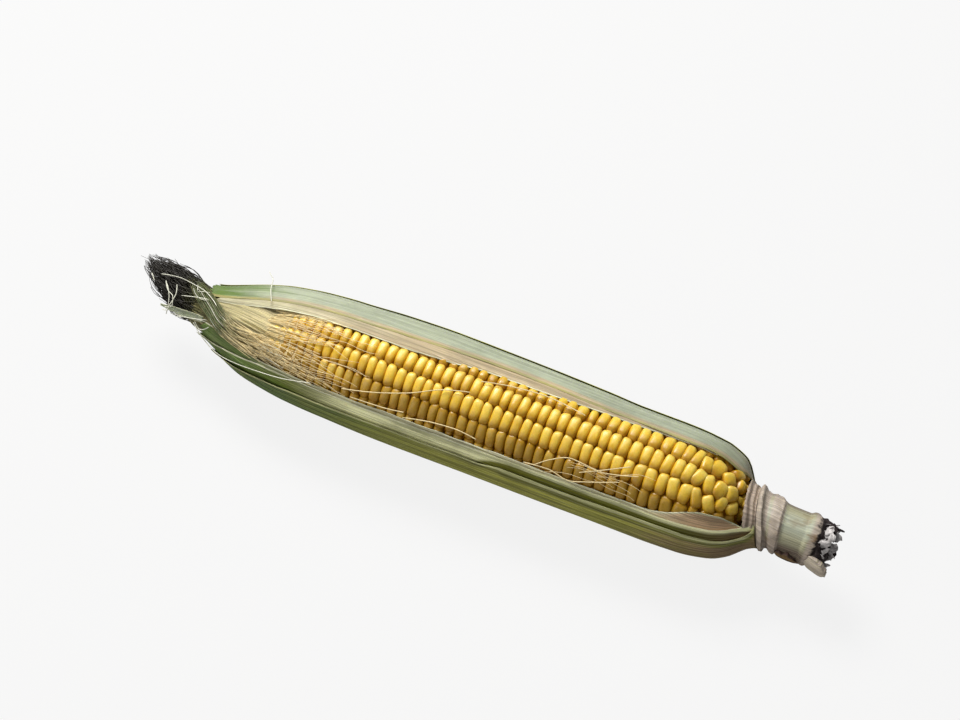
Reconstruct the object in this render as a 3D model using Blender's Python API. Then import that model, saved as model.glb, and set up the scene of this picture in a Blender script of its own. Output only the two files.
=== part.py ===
"""An ear of sweetcorn lying in its opened husk: ear, husk leaves, shank and silk.

Metres, +Z up. The ear lies along X with its tip towards -X and its shank towards +X. A station
is a distance along the ear from the neck of the husk. An angle is measured round the ear's axis
in degrees: 0 is straight up, positive turns towards -Y, the side that the husk is opened to.
"""

import math

import bpy

MM = 0.001

# The ear: how many rows of kernels it has, and how deep the grooves between them are.
ROWS = 18
ROW_GROOVE = 1.3 * MM
EAR_RADIUS = 22.2 * MM

# The middle of the opening in the husk, where one row of kernels has its crest.
OPENING = 32.0

# The husk: how far the leaves stand out from the ear, layer by layer, and how thick they are.
GAP = 0.3 * MM
LEAF_THICKNESS = (0.3 * MM, 0.3 * MM, 0.4 * MM, 0.4 * MM)
AXIS_HEIGHT = 24.5 * MM
LEAF_STATIONS = (
    0, 6, 12, 20, 30, 42, 58, 80, 98, 116, 132, 155, 180, 198, 207, 213, 217, 221.5, 224.6, 226.5, 228.6,
)
LEAF_STEP = 10.5
EAR_STATIONS = (
    14, 17, 20, 25, 30, 36, 42, 50, 58, 69, 80, 107, 135, 163, 190, 203, 209, 213, 217, 220, 222.5, 224.3,
)

# The shank is round, and edges sharper than this show as edges on every piece.
SHANK_SIDES = 24
SHARP_ANGLE = 40

# The silk, out of the neck of the husk.
SILK_REACH = 30.0 * MM
SILK_RADIUS = 8.0 * MM
SILK_LIFT = 10.0 * MM

# Outlines as (station, radius) and edges as (station, angle), stations in millimetres.
EAR_OUTLINE = (
    (14, 3.5), (20, 9.0), (30, 15.0), (42, 18.9), (58, 21.2), (80, 22.2),
    (190, 22.2), (203, 21.7), (213, 19.5), (219, 16.2), (222.5, 12.3), (224.3, 8.0),
)
HUSK_OUTLINE = (
    (-6, 8.4), (0, 8.8), (10, 11.3), (20, 14.9), (30, 17.8), (42, 20.1), (58, 21.6), (80, 22.2),
    (190, 22.2), (203, 21.8), (213, 20.0), (219, 17.1), (223, 13.9), (226, 11.6), (230, 9.9), (236, 9.6),
)
FAR_SWELL = (
    (0, 0.6), (15, 1.5), (27, 1.3), (40, 0.8), (58, 0.6), (77, 1.3),
    (98, 1.9), (116, 1.7), (140, 1.3), (160, 0.7), (175, 0), (230, 0),
)
NEAR_SWELL = ((0, 0.6), (10, 1.8), (20, 2.0), (30, 1.3), (45, 0.5), (60, 0), (230, 0))
SHANK_OUTLINE = (
    (224.8, 7.4), (227, 8.6), (229.8, 9.2), (230.4, 11.4), (231.2, 12.7), (232.2, 12.6),
    (232.9, 11.3), (235.6, 10.9), (236.8, 11.5), (238.3, 11.5), (239.3, 10.5), (240.8, 9.8), (249.6, 9.7),
    (251, 10.3), (252.4, 10.7), (253.6, 10.4), (255.5, 9.9), (259, 9.4), (261.5, 8.4), (263, 6.4),
)

# The butt and the first scars lie slanted, further along on the side at SLANT_ANGLE + 90 degrees.
# (station, slant in mm along the ear for each mm off its axis)
SLANT_ANGLE = 31.0
SLANT = ((195, 0), (215, 0.17), (225, 0.22), (232, 0.27), (238, 0.16), (250, 0))

# Each husk leaf: its layer out from the ear, its ends, and the angles of its two long edges.
LEAVES = {
    "far_inner_leaf": (
        0, 4, 221.5,
        (
            (4, 5), (26, 0), (44, -4), (82, -3), (100, -6), (118, -11), (160, -14),
            (198, -18), (210, -20), (216, -30), (221.5, -48),
        ),
        ((4, -150), (222, -150)),
    ),
    "near_inner_leaf": (
        0, 4, 221.5,
        ((4, 60), (21, 66), (40, 64), (74, 62), (185, 62), (196, 60), (207, 49), (222, 48)),
        ((4, 172), (222, 172)),
    ),
    "far_pale_leaf": (
        1, 0, 228.6,
        (
            (0, -4), (17, -10), (41, -14), (69, -16), (95, -20), (120, -23), (140, -22), (158, -19),
            (200, -17), (210, -20), (216, -28), (222, -42), (226, -58), (228.6, -66),
        ),
        ((0, -176), (229, -176)),
    ),
    "near_fold_leaf": (
        1, 0, 228.6,
        (
            (0, 102), (9, 91), (15, 83), (23, 74), (31, 69), (42, 66),
            (135, 64), (190, 64), (218, 66), (229, 62),
        ),
        ((0, 178), (229, 178)),
    ),
    "base_sheath": (
        1, 224.6, 228.6,
        ((224, -36), (229, -50)),
        ((224, 52), (229, 52)),
    ),
    "far_outer_leaf": (
        2, 0, 228.6,
        (
            (0, -10), (9, -14), (18, -34), (30, -49), (69, -54),
            (135, -54), (210, -55), (222, -62), (229, -72),
        ),
        ((0, -184), (229, -184)),
    ),
    "near_outer_leaf": (
        3, 8, 228.6,
        (
            (8, 110), (20, 93), (34, 83), (50, 78), (80, 76), (124, 75), (132, 72), (160, 71),
            (205, 69), (215, 73), (221, 79), (225, 79), (228.6, 60),
        ),
        ((8, 170), (42, 184), (80, 198), (120, 205), (229, 205)),
    ),
}

# Material: base colour, roughness.
FINISHES = {
    "ear": ((0.62, 0.36, 0.045), 0.35),
    "far_inner_leaf": ((0.55, 0.47, 0.34), 0.5),
    "near_inner_leaf": ((0.52, 0.45, 0.31), 0.5),
    "far_pale_leaf": ((0.52, 0.58, 0.42), 0.5),
    "near_fold_leaf": ((0.30, 0.40, 0.13), 0.5),
    "base_sheath": ((0.47, 0.40, 0.31), 0.6),
    "far_outer_leaf": ((0.17, 0.25, 0.06), 0.5),
    "near_outer_leaf": ((0.33, 0.36, 0.15), 0.5),
    "shank": ((0.40, 0.40, 0.28), 0.55),
    "sheath_flap": ((0.42, 0.33, 0.25), 0.6),
    "silk_tuft": ((0.035, 0.02, 0.012), 0.7),
    "dried_leaf_tip": ((0.42, 0.40, 0.28), 0.7),
}


def clear_scene():
    for thing in list(bpy.data.objects):
        bpy.data.objects.remove(thing, do_unlink=True)


def finish(name):
    """The piece's own material."""
    colour, roughness = FINISHES[name]
    material = bpy.data.materials.new(name)
    material.use_nodes = True
    shader = material.node_tree.nodes["Principled BSDF"]
    shader.inputs["Base Color"].default_value = (*colour, 1.0)
    shader.inputs["Roughness"].default_value = roughness
    return material


def smooth_value(points, place):
    """A smooth curve through (place, value) points, held level past its two ends."""
    if place <= points[0][0]:
        return points[0][1]
    if place >= points[-1][0]:
        return points[-1][1]
    last = next(i for i in range(1, len(points)) if place <= points[i][0])
    (x0, y0), (x1, y1) = points[last - 1], points[last]

    def slope(i):
        if i in (0, len(points) - 1):
            return 0.0
        rise_before = (points[i][1] - points[i - 1][1]) / (points[i][0] - points[i - 1][0])
        rise_after = (points[i + 1][1] - points[i][1]) / (points[i + 1][0] - points[i][0])
        if rise_before * rise_after <= 0:
            return 0.0
        return 2 * rise_before * rise_after / (rise_before + rise_after)

    span = x1 - x0
    t = (place - x0) / span
    rise = y0 * (1 + 2 * t) * (1 - t) ** 2 + y1 * t * t * (3 - 2 * t)
    return rise + span * t * (1 - t) * (slope(last - 1) * (1 - t) - slope(last) * t)


def hump(angle, low, crest, high):
    """A smooth hump over the angles from low to high, 1 at its crest."""
    if not low < angle < high:
        return 0.0
    side = low if angle < crest else high
    return math.cos((angle - crest) / (side - crest) * math.pi / 2) ** 2


def husk_radius(station, angle, layer):
    """The radius that the layers are laid on: close to the ear, and swollen outside layer 0."""
    place = station / MM
    radius = smooth_value(HUSK_OUTLINE, place)
    if layer:
        turned = angle % 360
        radius += smooth_value(NEAR_SWELL, place) * hump(turned, 23, 118, 213)
        radius += smooth_value(FAR_SWELL, place) * hump(turned, 210, 298, 345)
    return radius * MM


def layer_face(layer):
    """How far a layer's outer face stands from the radius that it is laid on."""
    return sum(LEAF_THICKNESS[: layer + 1]) + (layer + 1) * GAP


def slanted(point):
    """A point moved along the ear by the slant of its station."""
    x, y, z = point
    turn = math.radians(SLANT_ANGLE)
    off_axis = -y * math.cos(turn) - (z - AXIS_HEIGHT) * math.sin(turn)
    return (x + smooth_value(SLANT, x / MM) * off_axis, y, z)


def husk_point(station, angle, layer):
    """A point on a layer's outer face. Low points are flattened onto the surface beneath."""
    probe = 0.5 * MM
    rise = husk_radius(station + probe, angle, layer) - husk_radius(station - probe, angle, layer)
    slope = rise / (2 * probe)
    face = layer_face(layer)
    shift = face / math.hypot(1, slope)
    radius = husk_radius(station, angle, layer) + shift
    turn = math.radians(angle)
    lowest = layer_face(3) - face - AXIS_HEIGHT
    height = max(radius * math.cos(turn), lowest)
    return slanted((station - slope * shift, -radius * math.sin(turn), AXIS_HEIGHT + height))


def add_piece(name, points, faces):
    mesh = bpy.data.meshes.new(name)
    mesh.from_pydata(points, [], faces)
    mesh.materials.append(finish(name))
    mesh.shade_smooth()
    mesh.set_sharp_from_angle(angle=math.radians(SHARP_ANGLE))
    piece = bpy.data.objects.new(name, mesh)
    bpy.context.scene.collection.objects.link(piece)
    return piece


def add_leaf(name):
    """A leaf's outer face as a grid of points, thickened inwards by a Solidify modifier."""
    layer, first, last, edge_a, edge_b = LEAVES[name]
    stations = [s for s in LEAF_STATIONS if first < s < last]
    stations = [first, *stations, last]
    widest = max(abs(smooth_value(edge_b, s) - smooth_value(edge_a, s)) for s in stations)
    columns = max(4, round(widest / LEAF_STEP))
    points = []
    for station in stations:
        start, end = smooth_value(edge_a, station), smooth_value(edge_b, station)
        for column in range(columns + 1):
            angle = start + (end - start) * column / columns
            points.append(husk_point(station * MM, angle, layer))
    faces = grid_faces(len(stations), columns + 1)
    if edge_b[0][1] < edge_a[0][1]:
        faces = [face[::-1] for face in faces]
    leaf = add_piece(name, points, faces)
    thicken(leaf, LEAF_THICKNESS[layer])
    return leaf


def thicken(piece, thickness):
    solidify = piece.modifiers.new("thickness", "SOLIDIFY")
    solidify.thickness = thickness
    solidify.offset = -1.0
    solidify.use_even_offset = True


def add_loft(name, rings):
    """A closed body through rings of points, which all have the same count and sense."""
    count = len(rings[0])
    points = [point for ring in rings for point in ring]
    faces = []
    for row in range(len(rings) - 1):
        for side in range(count):
            a = row * count + side
            b = row * count + (side + 1) % count
            faces.append((a, b, b + count, a + count))
    faces.append(tuple(range(count))[::-1])
    faces.append(tuple(range(len(points) - count, len(points))))
    return add_piece(name, points, faces)


def ring(station, radii, centre=(0.0, 0.0)):
    """A ring of points round the ear's axis, one for each radius, turning from up towards +Y."""
    points = []
    for index, radius in enumerate(radii):
        turn = 2 * math.pi * index / len(radii)
        y = centre[0] + radius * math.sin(turn)
        z = centre[1] + radius * math.cos(turn) + AXIS_HEIGHT
        points.append((station, y, z))
    return points[::-1]


def add_ear():
    """The cob with its rows of kernels: a crest for each row and a groove between two rows."""
    rings = []
    for station in EAR_STATIONS:
        crest = smooth_value(EAR_OUTLINE, station) * MM
        groove = ROW_GROOVE * crest / EAR_RADIUS
        radii = [crest if side % 2 == 0 else crest - groove for side in range(2 * ROWS)]
        rings.append(turned_ring(ring(station * MM, radii)))
    return add_loft("ear", rings)


def turned_ring(points):
    """A ring turned so that a crest lies at the middle of the opening, and slanted."""
    turn = math.radians(OPENING % (360 / ROWS))
    turned = []
    for x, y, z in points:
        height = z - AXIS_HEIGHT
        new_y = y * math.cos(turn) - height * math.sin(turn)
        new_z = y * math.sin(turn) + height * math.cos(turn)
        turned.append(slanted((x, new_y, new_z + AXIS_HEIGHT)))
    return turned


def add_shank():
    """The stalk below the ear, with the ring-shaped scars where husk leaves grew."""
    rings = []
    for station, radius in SHANK_OUTLINE:
        points = ring(station * MM, [radius * MM] * SHANK_SIDES)
        rings.append([slanted(point) for point in points])
    return add_loft("shank", rings)


def add_strip(name, stops, middle, columns, thickness):
    """A bent strip, thickened inwards. Each stop is its station, radius and half width in degrees."""
    points = []
    for station, radius, half_width in stops:
        for column in range(columns + 1):
            turn = math.radians(middle + half_width * (2 * column / columns - 1))
            y, z = -radius * math.sin(turn), radius * math.cos(turn)
            points.append((station * MM, y * MM, z * MM + AXIS_HEIGHT))
    faces = grid_faces(len(stops), columns + 1)
    if stops[-1][0] < stops[0][0]:
        faces = [face[::-1] for face in faces]
    strip = add_piece(name, points, faces)
    thicken(strip, thickness)
    return strip


def grid_faces(rows, columns):
    """The faces of a grid whose rows go towards the shank, facing away from the ear's axis."""
    faces = []
    for row in range(rows - 1):
        for column in range(columns - 1):
            corner = row * columns + column
            faces.append((corner, corner + 1, corner + columns + 1, corner + columns))
    return faces


def add_sheath_flap():
    """A torn scrap of leaf sheath that points away from the shank's last ring."""
    stops = ((250.5, 11.6, 24), (254, 11.8, 22), (257.5, 12.1, 18), (260.5, 12.4, 13), (263, 12.6, 8))
    return add_strip("sheath_flap", stops, OPENING + 90, 4, 0.6 * MM)


def add_silk_tuft():
    """The dried silk as one closed shape, out of the neck and lifted away from the opening."""
    sides = 12
    away = math.radians(OPENING - 90)
    stops = 8
    rings = []
    for stop in range(stops + 1):
        out = stop / stops
        station = 6 * MM - out * (6 * MM + SILK_REACH)
        lift = SILK_LIFT * max(0.0, out - 0.15) ** 1.3 / 0.85**1.3
        swell = math.sin(math.pi * (0.28 + 0.64 * out))
        centre = (-lift * math.sin(away), lift * math.cos(away))
        rings.append(ring(station, [SILK_RADIUS * swell] * sides, centre))
    return add_loft("silk_tuft", rings[::-1])


def add_dried_leaf_tip():
    """A narrow dried blade end that lies over the silk, beside the opening."""
    stops = ((1.5, 9.1, 8), (-3, 9.4, 8.5), (-7.5, 9.7, 8), (-12, 9.6, 6), (-16.5, 9.3, 2.5))
    return add_strip("dried_leaf_tip", stops, OPENING + 27, 3, 0.3 * MM)


def rest_on_origin(pieces):
    """Parents the pieces to one empty, placed so that the box's bottom centre is the origin."""
    corners = [vertex.co for piece in pieces for vertex in piece.data.vertices]
    low = [min(corner[axis] for corner in corners) for axis in range(3)]
    high = [max(corner[axis] for corner in corners) for axis in range(3)]
    holder = bpy.data.objects.new("corn_cob", None)
    bpy.context.scene.collection.objects.link(holder)
    holder.location = (-(low[0] + high[0]) / 2, -(low[1] + high[1]) / 2, -low[2])
    for piece in pieces:
        piece.parent = holder


def main():
    clear_scene()
    pieces = [add_ear(), add_shank(), add_sheath_flap()]
    pieces += [add_leaf(name) for name in LEAVES]
    pieces += [add_silk_tuft(), add_dried_leaf_tip()]
    rest_on_origin(pieces)


main()
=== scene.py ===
import math
import random

import bpy
from bpy.props import FloatProperty, FloatVectorProperty, IntProperty, PointerProperty
from bpy.types import Operator, Panel, PropertyGroup
from mathutils import Matrix, Vector, noise


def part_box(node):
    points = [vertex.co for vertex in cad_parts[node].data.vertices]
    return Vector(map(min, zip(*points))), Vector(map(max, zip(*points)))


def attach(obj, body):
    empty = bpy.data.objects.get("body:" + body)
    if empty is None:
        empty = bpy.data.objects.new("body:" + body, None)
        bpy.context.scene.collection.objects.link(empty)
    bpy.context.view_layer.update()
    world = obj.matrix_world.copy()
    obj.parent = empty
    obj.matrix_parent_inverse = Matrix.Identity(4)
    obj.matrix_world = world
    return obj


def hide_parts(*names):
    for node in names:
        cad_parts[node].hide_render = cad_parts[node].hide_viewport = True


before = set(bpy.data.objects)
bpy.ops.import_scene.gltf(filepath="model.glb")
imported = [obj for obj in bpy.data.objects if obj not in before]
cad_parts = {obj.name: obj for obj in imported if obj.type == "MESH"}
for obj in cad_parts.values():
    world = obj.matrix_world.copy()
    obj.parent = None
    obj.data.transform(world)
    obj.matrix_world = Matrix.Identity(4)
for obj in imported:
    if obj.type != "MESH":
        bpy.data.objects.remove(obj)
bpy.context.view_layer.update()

bl_info = {
    "name": "Corn Cob in its Husk",
    "version": (1, 0, 0),
    "blender": (4, 5, 0),
    "location": "View3D > Sidebar > Corn",
    "description": "Builds a sweetcorn ear in its opened husk, with shank and silk",
    "category": "Object",
}

MM = 0.001

# The ear's axis, read from the turned shank. Stations are in mm from the neck of the husk.
SHANK_LOW, SHANK_HIGH = (Vector(corner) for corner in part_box("shank"))
SHANK_END = 263.0
AXIS_Y = (SHANK_LOW.y + SHANK_HIGH.y) / 2
AXIS_Z = (SHANK_LOW.z + SHANK_HIGH.z) / 2
NECK_X = SHANK_HIGH.x - SHANK_END * MM

# The direction, in degrees round the axis, that the husk is opened to. 0 is up.
OPENING = 32.0

# The leaves lie in four layers. Their gap and thickness are in mm, and the grain's mm round the husk
# are ARC for each degree.
GAP = 0.3
LEAF_THICKNESS = (0.3, 0.3, 0.4, 0.4)
ARC = 0.4

# A husk finish: its colours, and the mm along the grain and in from the edge where they change.
TONES = ("Tip", "Middle", "Butt", "Edge", "Margin")
PLACES = ("Tip end", "Butt start", "Edge width", "Margin width")


class Curve:
    """A smooth curve through (place, value) points, held level past its two ends."""

    STEP = 0.25

    def __init__(self, *points):
        self.first = points[0][0]
        count = math.ceil((points[-1][0] - self.first) / self.STEP) + 1
        self.samples = [self.exact(points, self.first + i * self.STEP) for i in range(count)]

    @staticmethod
    def exact(points, place):
        if place <= points[0][0]:
            return points[0][1]
        if place >= points[-1][0]:
            return points[-1][1]
        last = next(i for i in range(1, len(points)) if place <= points[i][0])
        (x0, y0), (x1, y1) = points[last - 1], points[last]

        def slope(i):
            if i in (0, len(points) - 1):
                return 0.0
            before = (points[i][1] - points[i - 1][1]) / (points[i][0] - points[i - 1][0])
            after = (points[i + 1][1] - points[i][1]) / (points[i + 1][0] - points[i][0])
            if before * after <= 0:
                return 0.0
            return 2 * before * after / (before + after)

        span = x1 - x0
        t = (place - x0) / span
        value = y0 * (1 + 2 * t) * (1 - t) ** 2 + y1 * t * t * (3 - 2 * t)
        return value + span * t * (1 - t) * (slope(last - 1) * (1 - t) - slope(last) * t)

    def __call__(self, place):
        at = (place - self.first) / self.STEP
        if at <= 0:
            return self.samples[0]
        if at >= len(self.samples) - 1:
            return self.samples[-1]
        low = int(at)
        return self.samples[low] + (self.samples[low + 1] - self.samples[low]) * (at - low)


# Outlines: radius in mm by station.
EAR_OUTLINE = Curve(
    (14, 3.5), (20, 9.0), (30, 15.0), (42, 18.9), (58, 21.2), (80, 22.2),
    (190, 22.2), (203, 21.7), (213, 19.5), (219, 16.2), (222.5, 12.3), (224.3, 8.0),
)
HUSK_OUTLINE = Curve(
    (-6, 8.4), (0, 8.8), (10, 11.3), (20, 14.9), (30, 17.8), (42, 20.1), (58, 21.6), (80, 22.2),
    (190, 22.2), (203, 21.8), (213, 20.0), (219, 17.1), (223, 13.9), (226, 11.6), (230, 9.9), (236, 9.6),
)
FAR_SWELL = Curve(
    (0, 0.6), (15, 1.5), (27, 1.3), (40, 0.8), (58, 0.6), (77, 1.3),
    (98, 1.9), (116, 1.7), (140, 1.3), (160, 0.7), (175, 0), (204, 0), (214, 1.1), (219.5, 2.2),
    (222, 2.8), (223.6, 1.2), (225, -0.6), (231, -0.4),
)
NEAR_SWELL = Curve((0, 0.6), (10, 1.8), (20, 2.0), (30, 1.3), (45, 0.5), (60, 0), (230, 0))
SHANK_OUTLINE = (
    (224.8, 7.4), (227, 8.6), (229.8, 9.2), (230.4, 11.4), (231.2, 12.9), (232.2, 12.8),
    (232.9, 11.0), (234.6, 10.3), (236.6, 11.3), (238.3, 11.4), (239.3, 10.2), (240.8, 9.6), (248.6, 9.5),
    (250, 10.3), (251.4, 10.7), (252.6, 10.5), (254, 9.4), (255.5, 8.6), (257.5, 7.8), (259, 6.4),
    (260, 4.4),
)
# The butt and the first scars lie slanted: mm along the ear for each mm off its axis.
SLANT_TURN = math.radians(31.0)
SLANT = Curve((195, 0), (215, 0.17), (225, 0.22), (232, 0.27), (238, 0.16), (250, 0))
# The shank bends a little to the near side, in mm.
SHANK_BEND = Curve((231, 0), (236, 0.5), (243, 1.4), (250, 1.5))

# Each leaf: layer, ends, and the angles of the edge at the opening and of the hidden edge.
LEAVES = {
    "far_inner_leaf": (
        0, 4, 221.5,
        (
            (4, 5), (26, 0), (44, -4), (82, -3), (100, -6), (118, -11), (160, -14),
            (198, -18), (210, -20), (216, -30), (221.5, -48),
        ),
        ((4, -150), (222, -150)),
    ),
    "near_inner_leaf": (
        0, 2, 226.0,
        (
            (2, 60), (21, 68), (40, 68), (74, 66), (188, 65), (199, 61), (206, 54), (212, 49),
            (218, 49), (223, 55), (226, 62),
        ),
        ((4, 172), (222, 172)),
    ),
    "far_pale_leaf": (
        1, 0, 230.4,
        (
            (0, -4), (17, -10), (41, -14), (69, -16), (95, -20), (120, -23), (140, -22), (158, -19),
            (200, -17), (210, -20), (218, -22), (221.5, -24), (224, -38), (226, -62), (230.4, -84),
        ),
        ((0, -176), (229, -176)),
    ),
    "near_fold_leaf": (
        1, 0, 230.4,
        (
            (0, 102), (9, 91), (15, 83), (23, 76), (31, 72), (42, 70),
            (135, 68), (190, 67), (212, 66), (220, 64), (227, 60), (230.4, 52),
        ),
        ((0, 178), (229, 178)),
    ),
    "base_sheath": (
        1, 225.6, 230.4,
        ((225, -64), (230, -88)),
        ((226, 60), (230, 60)),
    ),
    "far_outer_leaf": (
        2, 0, 230.4,
        (
            (0, -62), (9, -64), (18, -66), (30, -64), (69, -56),
            (135, -54), (205, -55), (218, -57), (222, -60), (224, -74), (230.4, -100),
        ),
        ((0, -184), (229, -184)),
    ),
    "near_outer_leaf": (
        3, 8, 230.4,
        (
            (8, 112), (20, 97), (34, 88), (50, 84), (80, 82), (124, 81), (129, 79), (134, 77.5), (160, 77),
            (200, 75), (212, 76), (220, 78), (225, 76), (228, 67), (230.4, 56),
        ),
        ((8, 170), (42, 184), (80, 198), (120, 205), (229, 205)),
    ),
}


# ---------------------------------------------------------------- shapes


def ramp(value, low, high):
    """0 below low, 1 above high and smooth between."""
    t = min(1.0, max(0.0, (value - low) / (high - low)))
    return t * t * (3 - 2 * t)


def mix(a, b, t):
    return a + (b - a) * t


def hump(angle, low, crest, high):
    """A smooth hump over the angles from low to high, 1 at its crest."""
    if not low < angle < high:
        return 0.0
    side = low if angle < crest else high
    return math.cos((angle - crest) / (side - crest) * math.pi / 2) ** 2


def place(station, angle, radius):
    """A point by its station and radius in mm and its angle in degrees."""
    turn = math.radians(angle)
    along = station + SLANT(station) * radius * math.sin(turn - SLANT_TURN)
    return Vector((
        NECK_X + along * MM,
        AXIS_Y - (radius * math.sin(turn) + SHANK_BEND(station)) * MM,
        AXIS_Z + radius * math.cos(turn) * MM,
    ))


def outward(turn):
    """The direction out of the ear's axis at an angle in radians."""
    return Vector((0, -math.sin(turn), math.cos(turn)))


def husk_radius(station, angle, layer):
    """The husk's radius under its layers, with the swellings of its near and far side."""
    radius = HUSK_OUTLINE(station)
    turned = angle % 360
    share = 1.0 if layer else 0.85
    radius += share * NEAR_SWELL(station) * hump(turned, 23, 118, 213)
    radius += share * FAR_SWELL(station) * hump(turned, 210, 298, 345)
    return radius


def layer_face(layer):
    """How far a layer's outer face stands out from the husk's radius, in mm."""
    return sum(LEAF_THICKNESS[: layer + 1]) + (layer + 1) * GAP


def husk_point(station, angle, layer, lift=0.0):
    """A point on a layer's outer face, lifted out by some mm and flattened where it rests.

    The layers lie closer together where they show than underneath.
    """
    slope = husk_radius(station + 0.5, angle, layer) - husk_radius(station - 0.5, angle, layer)
    underneath = ramp(abs((angle + 180) % 360 - 180), 128, 160)
    face = layer_face(layer)
    shift = (face * mix(0.72, 1.0, underneath) + lift) / math.hypot(1, slope)
    point = place(station - slope * shift, angle, husk_radius(station, angle, layer) + shift)
    point.z = max(point.z, (layer_face(3) - face) * MM)
    return point


def wander(x, y, seed):
    """A smooth random value between about -1 and 1."""
    return noise.noise(Vector((x, y, seed * 7.31)))


# ---------------------------------------------------------------- meshes


def new_piece(name, points, faces, uvs=None, **attributes):
    """A mesh object. uvs holds one pair for each point, in mm across and along the grain."""
    mesh = bpy.data.meshes.new(name)
    mesh.from_pydata(points, [], faces)
    mesh.shade_smooth()
    if uvs:
        layer = mesh.uv_layers.new(name="grain")
        for loop in mesh.loops:
            layer.data[loop.index].uv = uvs[loop.vertex_index]
    for label, values in attributes.items():
        attribute = mesh.attributes.new(label, "FLOAT", "POINT")
        attribute.data.foreach_set("value", values)
    piece = bpy.data.objects.new(name, mesh)
    bpy.context.scene.collection.objects.link(piece)
    return piece


def grid_faces(rows, columns, flipped=False, closed=False, first=0):
    """The faces of a grid of points, which wraps round in its columns if it is closed."""
    faces = []
    for row in range(rows - 1):
        for column in range(columns if closed else columns - 1):
            a = first + row * columns + column
            b = first + row * columns + (column + 1) % columns
            face = (a, b, b + columns, a + columns)
            faces.append(face[::-1] if flipped else face)
    return faces


def tube_faces(rings, sides, first=0):
    """The faces of a tube of rings of points, with its two ends closed."""
    last = first + (rings - 1) * sides
    ends = [tuple(range(first + sides - 1, first - 1, -1)), tuple(range(last, last + sides))]
    return grid_faces(rings, sides, closed=True, first=first) + ends


def new_sheet(name, outer, inner, rows, columns, flipped, uvs, rims):
    """A closed sheet from a grid of outer points and a grid of inner ones."""
    faces = grid_faces(rows, columns, flipped)
    faces += grid_faces(rows, columns, not flipped, first=rows * columns)
    loop = [*range(columns), *(row * columns + columns - 1 for row in range(1, rows))]
    loop += [*range(rows * columns - 2, (rows - 1) * columns - 1, -1)]
    loop += [row * columns for row in range(rows - 2, 0, -1)]
    for a, b in zip(loop, loop[1:] + loop[:1]):
        face = (b, a, a + rows * columns, b + rows * columns)
        faces.append(face[::-1] if flipped else face)
    return new_piece(name, outer + inner, faces, uvs * 2, rim=rims * 2)


def finish(piece, material, slot, *nodes):
    """Gives a piece its material and its body, and hides the CAD nodes that it stands for. The slot is not
    used.
    """
    piece.data.materials.append(material)
    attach(piece, "root")
    if nodes:
        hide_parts(*nodes)


def stations_between(first, last, count):
    """Stations that lie closer together towards both ends."""
    steps = [i / (count - 1) for i in range(count)]
    return [mix(first, last, mix(t, ramp(t, 0, 1), 0.45)) for t in steps]


# In mm: how high a leaf's waves are, how far its ribs lie apart, and how wide its edge curls.
WAVE_HEIGHT, RIB_GAP, CURL_WIDTH = 0.2, 2.6, 1.6
# How much closer together a leaf's grid lies at its shown edge, and an even scale for its rim.
BUNCH = 1.3
EVEN = Curve((0, 1), (1, 1))


def build_leaf(
    name, seed, curl, ragged, rib=0.05, rows=150, columns=64, frayed=2.0, ridge=0.0, rim_scale=EVEN,
):
    """A husk leaf as a fine grid on its layer, with waves, ribs and a thin, uneven edge.

    In mm: how far its edge curls out, how ragged the edge and how frayed the tip is, and how high
    its ribs and its cross ridges are.
    """
    layer, first, last, *edges = LEAVES[name]
    edge, hidden = (Curve(*points) for points in edges)
    outer, inner, uvs, rims = [], [], [], []
    for station in stations_between(first, last, rows):
        uneven = wander(station / 9, 1.7, seed + 11) + 0.35 * wander(station / 2.2, 0.3, seed + 12)
        start, end = edge(station) + ragged * uneven, hidden(station)
        fade = max(0.25, ramp(station, first, first + 14) * (1 - ramp(station, 206, 224)))
        fray = frayed * (1 - ramp(station, first, first + 12))
        for column in range(columns):
            angle = mix(start, end, (column / (columns - 1)) ** BUNCH)
            rim = abs(angle - start) * math.pi / 180 * HUSK_OUTLINE(station)
            along = station + fray * wander(angle / 6, 4.2, seed + 5)
            wave = WAVE_HEIGHT * wander(station / 34, angle / 21, seed)
            turn = angle * ARC * 2 * math.pi / RIB_GAP + 3 * wander(station / 70, angle / 30, seed + 3)
            lift = (wave + rib * math.sin(turn)) * ramp(rim, 0.0, 3.0) * fade
            lift += curl * (1 - ramp(rim, 0, CURL_WIDTH))
            lift += ridge * math.sin(2.6 * (along - first) + 2 * wander(angle / 30, 1.0, seed))
            thickness = LEAF_THICKNESS[layer] * mix(0.4, 1.0, ramp(rim, 0, 1.4))
            outer.append(husk_point(along, angle, layer, lift))
            inner.append(husk_point(along, angle, layer, lift - thickness))
            uvs.append((angle * ARC, station))
            rims.append(rim * rim_scale(station))
    return new_sheet(name + "_grown", outer, inner, rows, columns, end < start, uvs, rims)


def kernel_shape(around, rings):
    """A plump kernel as unit points, with how near each is to the crown, and its faces."""
    points, crowns = [], []
    for ring in rings:
        lift = math.radians(ring)
        reach = abs(math.cos(lift)) ** 0.54
        height = math.copysign(abs(math.sin(lift)) ** 0.86, lift)
        for step in range(around):
            turn = 2 * math.pi * (step + 0.5) / around
            x = math.copysign(abs(math.cos(turn)) ** 0.58, math.cos(turn))
            y = math.copysign(abs(math.sin(turn)) ** 0.58, math.sin(turn))
            points.append((x * reach, y * reach, height))
            crowns.append(max(0.0, math.sin(lift)))
    points.append((0, 0, 1))
    crowns.append(1.0)
    faces = grid_faces(len(rings), around, closed=True)
    top = (len(rings) - 1) * around
    faces += [(top + step, top + (step + 1) % around, len(points) - 1) for step in range(around)]
    return points, crowns, faces


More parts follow.
